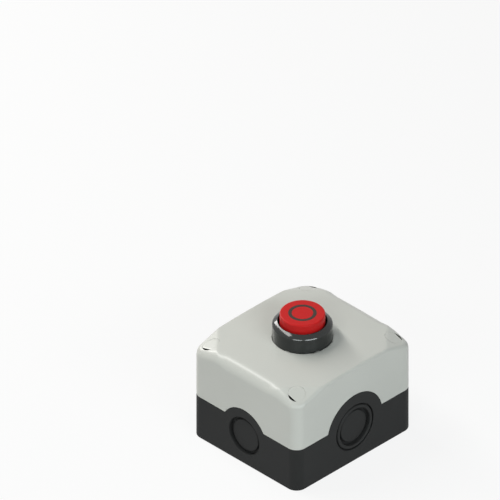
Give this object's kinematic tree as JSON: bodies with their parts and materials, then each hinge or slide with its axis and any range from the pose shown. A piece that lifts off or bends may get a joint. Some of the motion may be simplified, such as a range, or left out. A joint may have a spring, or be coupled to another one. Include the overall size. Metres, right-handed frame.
{
  "type": "pushbutton control station",
  "caption": "Surface-mounted box with a black base, a light grey crowned cover and one red extended pushbutton in a black bezel; spring-return stop control with make and break contacts.",
  "frame": {"origin": "centre of the back face, where the base lies on the wall", "axes": "+Z out of the wall along the button's axis, +Y along the height, +X across the width"},
  "size_m": [0.072, 0.08, 0.0695],
  "materials": {
    "base_plastic": "fine-grained black moulding, satin",
    "cover_plastic": "fine-grained light grey moulding, satin",
    "bezel_plastic": "smooth black moulding",
    "barrel_plastic": "threaded black moulding",
    "cap_plastic": "semi-gloss red moulding",
    "symbol_plastic": "dark inlay",
    "stem_plastic": "natural moulding",
    "case_plastic": "glass-filled grey moulding",
    "break_plunger_plastic": "red moulding",
    "make_plunger_plastic": "green moulding",
    "seal_rubber": "matte rubber",
    "zinc_screws": "bright zinc plate",
    "spring_steel": "drawn wire",
    "contact_copper": "stamped copper alloy"
  },
  "bodies": {
    "station": {"base": "base_plastic", "cover": "cover_plastic", "cover_gasket": "seal_rubber", "cover_screws": "zinc_screws", "screw_caps": "cover_plastic", "bezel": "bezel_plastic", "panel_gasket": "seal_rubber", "barrel": "barrel_plastic", "stem_seal": "seal_rubber", "ring_nut": "case_plastic", "adapter": "case_plastic", "adapter_screw": "zinc_screws", "return_spring": "spring_steel", "nc_housing": "case_plastic", "nc_lid": "case_plastic", "nc_fixed_contacts": "contact_copper", "nc_return_spring": "spring_steel", "no_housing": "case_plastic", "no_lid": "case_plastic", "no_fixed_contacts": "contact_copper", "no_return_spring": "spring_steel", "terminal_screws": "zinc_screws", "clamp_plates": "zinc_screws"},
    "button": {"button_cap": "cap_plastic", "off_symbol": "symbol_plastic", "button_stem": "stem_plastic"},
    "break_carrier": {"nc_plunger": "break_plunger_plastic", "nc_bridge": "contact_copper", "nc_contact_spring": "spring_steel"},
    "make_carrier": {"no_plunger": "make_plunger_plastic", "no_bridge": "contact_copper", "no_contact_spring": "spring_steel"}
  },
  "joints": [
    {"name": "button_press", "type": "slide", "parent": "station", "child": "button", "axis": [0, 0, -1], "range_m": [0, 0.005], "stiffness_N_per_m": 800, "springref_m": -0.005, "deforming": ["return_spring"]},
    {"name": "break_travel", "type": "slide", "parent": "station", "child": "break_carrier", "axis": [0, 0, -1], "range_m": [0, 0.005], "stiffness_N_per_m": 200, "springref_m": -0.005, "deforming": ["nc_return_spring"]},
    {"name": "make_travel", "type": "slide", "parent": "station", "child": "make_carrier", "axis": [0, 0, -1], "range_m": [0, 0.005], "stiffness_N_per_m": 200, "springref_m": -0.005, "deforming": ["no_return_spring"]}
  ],
  "couplings": [
    {"joint": "break_travel", "follows": "button_press", "ratio": 1},
    {"joint": "make_travel", "follows": "button_press", "ratio": 1}
  ]
}
